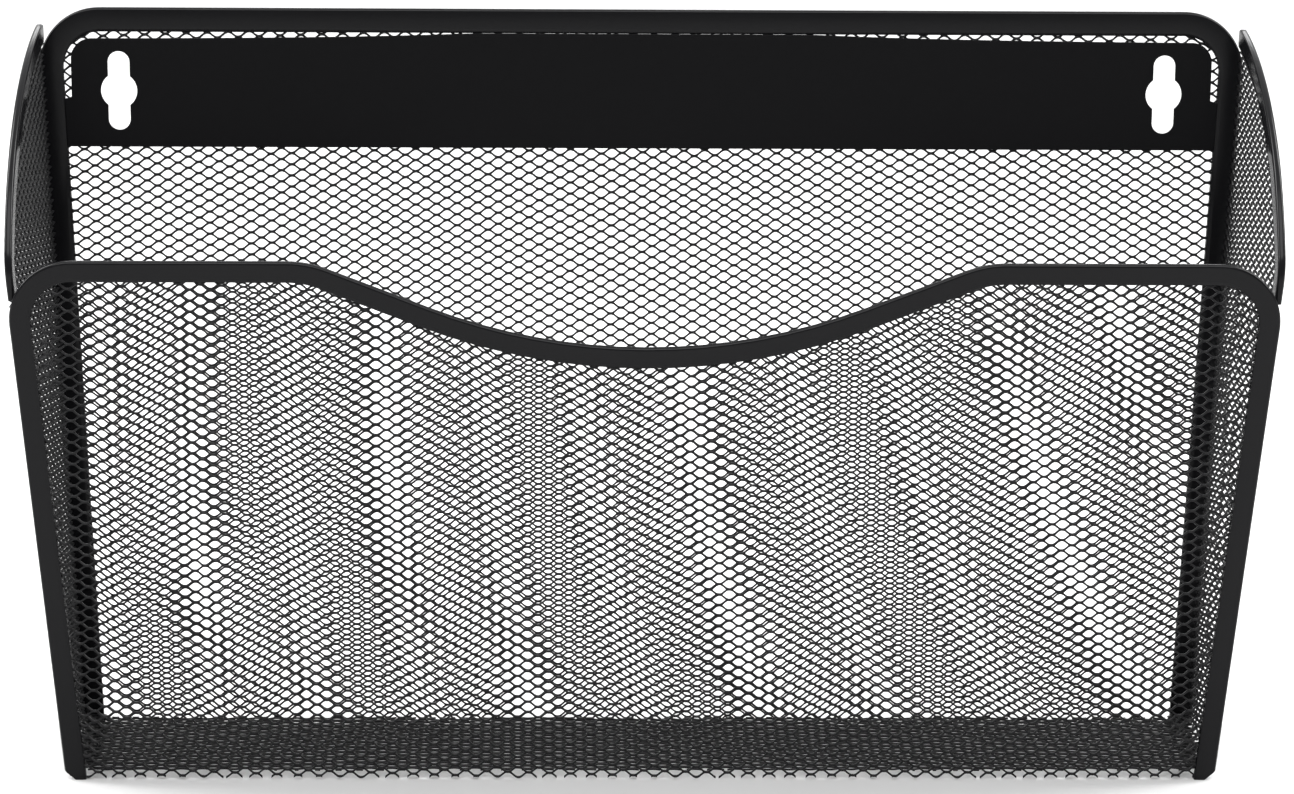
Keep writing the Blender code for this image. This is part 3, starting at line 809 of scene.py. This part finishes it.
# Each light's name, place, point it faces, width and height, and brightness.
LIGHTS = (
    ("overhead", (0.0, 1.0, 2.6), (0.0, 1.0, 0.0), (6.0, 6.0), 1.0),
    ("far_wall", (0.0, 6.5, 1.2), (0.0, 0.0, 0.2), (9.0, 2.4), 1.6),
    ("rear_strip", (0.0, 2.9, 2.5), (0.0, 0.0, 0.1), (2.4, 0.8), 8.0),
    ("front_fill", (0.0, -1.5, 2.1), (0.0, -0.1, 0.0), (2.6, 1.2), 5.0),
    ("left_side", (-1.4, 0.2, 1.2), (0.0, 0.0, 0.15), (0.5, 1.4), 15.0),
    ("right_side", (1.4, 0.2, 1.2), (0.0, 0.0, 0.15), (0.5, 1.4), 15.0),
)


def build_floor():
    corners = [(-1, -1), (1, -1), (1, 1), (-1, 1)]
    mesh = bpy.data.meshes.new("floor")
    mesh.from_pydata([(x * FLOOR_SIZE / 2, y * FLOOR_SIZE / 2, 0.0) for x, y in corners], [],
                     [(0, 1, 2, 3)])
    floor = bpy.data.objects.new("floor", mesh)
    bpy.context.scene.collection.objects.link(floor)
    mesh.materials.append(plain_surface("pale_floor", (0.6, 0.6, 0.6), 0.8))


def add_area_light(name, place, target, size, radiance):
    """A soft box, by its place, the point it faces, its width and height, and its brightness."""
    lamp = bpy.data.lights.new(name, "AREA")
    lamp.shape = "RECTANGLE"
    lamp.size, lamp.size_y = size
    lamp.energy = radiance * math.pi * size[0] * size[1]
    item = bpy.data.objects.new(name, lamp)
    bpy.context.scene.collection.objects.link(item)
    item.location = place
    item.visible_camera = False
    item.rotation_euler = (Vector(target) - Vector(place)).to_track_quat("-Z", "Y").to_euler()


def build_light():
    world = bpy.data.worlds.new("studio")
    world.use_nodes = True
    background = world.node_tree.nodes["Background"]
    background.inputs["Color"].default_value = (1.0, 1.0, 1.0, 1.0)
    background.inputs["Strength"].default_value = WORLD_STRENGTH
    bpy.context.scene.world = world
    for light in LIGHTS:
        add_area_light(*light)


def build_camera():
    forward = Vector((math.sin(CAMERA_YAW) * math.cos(CAMERA_DOWN),
                      math.cos(CAMERA_YAW) * math.cos(CAMERA_DOWN), -math.sin(CAMERA_DOWN)))
    level = Vector((math.cos(CAMERA_YAW), -math.sin(CAMERA_YAW), 0.0))
    upright = level.cross(forward)
    right = level * math.cos(CAMERA_ROLL) + upright * math.sin(CAMERA_ROLL)
    up = upright * math.cos(CAMERA_ROLL) - level * math.sin(CAMERA_ROLL)
    data = bpy.data.cameras.new("camera")
    data.sensor_width = SENSOR_WIDTH
    data.sensor_fit = "HORIZONTAL"
    data.lens = LENS
    data.clip_start = 0.05
    data.clip_end = 50.0
    camera = bpy.data.objects.new("camera", data)
    bpy.context.scene.collection.objects.link(camera)
    turn = Matrix((right, up, -forward)).transposed().to_4x4()
    camera.matrix_world = Matrix.Translation(CAMERA_PLACE) @ turn
    bpy.context.scene.camera = camera


def build_scene():
    mesh_coat = powder_coat("mesh_powder_coat", (0.009, 0.009, 0.0097), 0.45, 0.17, False)
    rim_coat = powder_coat("rim_powder_coat", (0.004, 0.004, 0.0046), 0.2, 0.14, True)
    plate_coat = powder_coat("plate_powder_coat", (0.003, 0.003, 0.0035), 0.42, 0.085, True)
    build_back_lattice(mesh_coat)
    build_front_lattice(mesh_coat)
    build_bottom_lattice(mesh_coat)
    build_side_lattice(-1, "left_side_lattice", LEFT_GRAIN, mesh_coat, "left_side_mesh")
    build_side_lattice(1, "right_side_lattice", RIGHT_GRAIN, mesh_coat, "right_side_mesh")
    build_plate(plate_coat)
    build_channels(rim_coat)
    build_floor()
    build_light()
    build_camera()
    bpy.context.scene.view_settings.view_transform = "Standard"


build_scene()
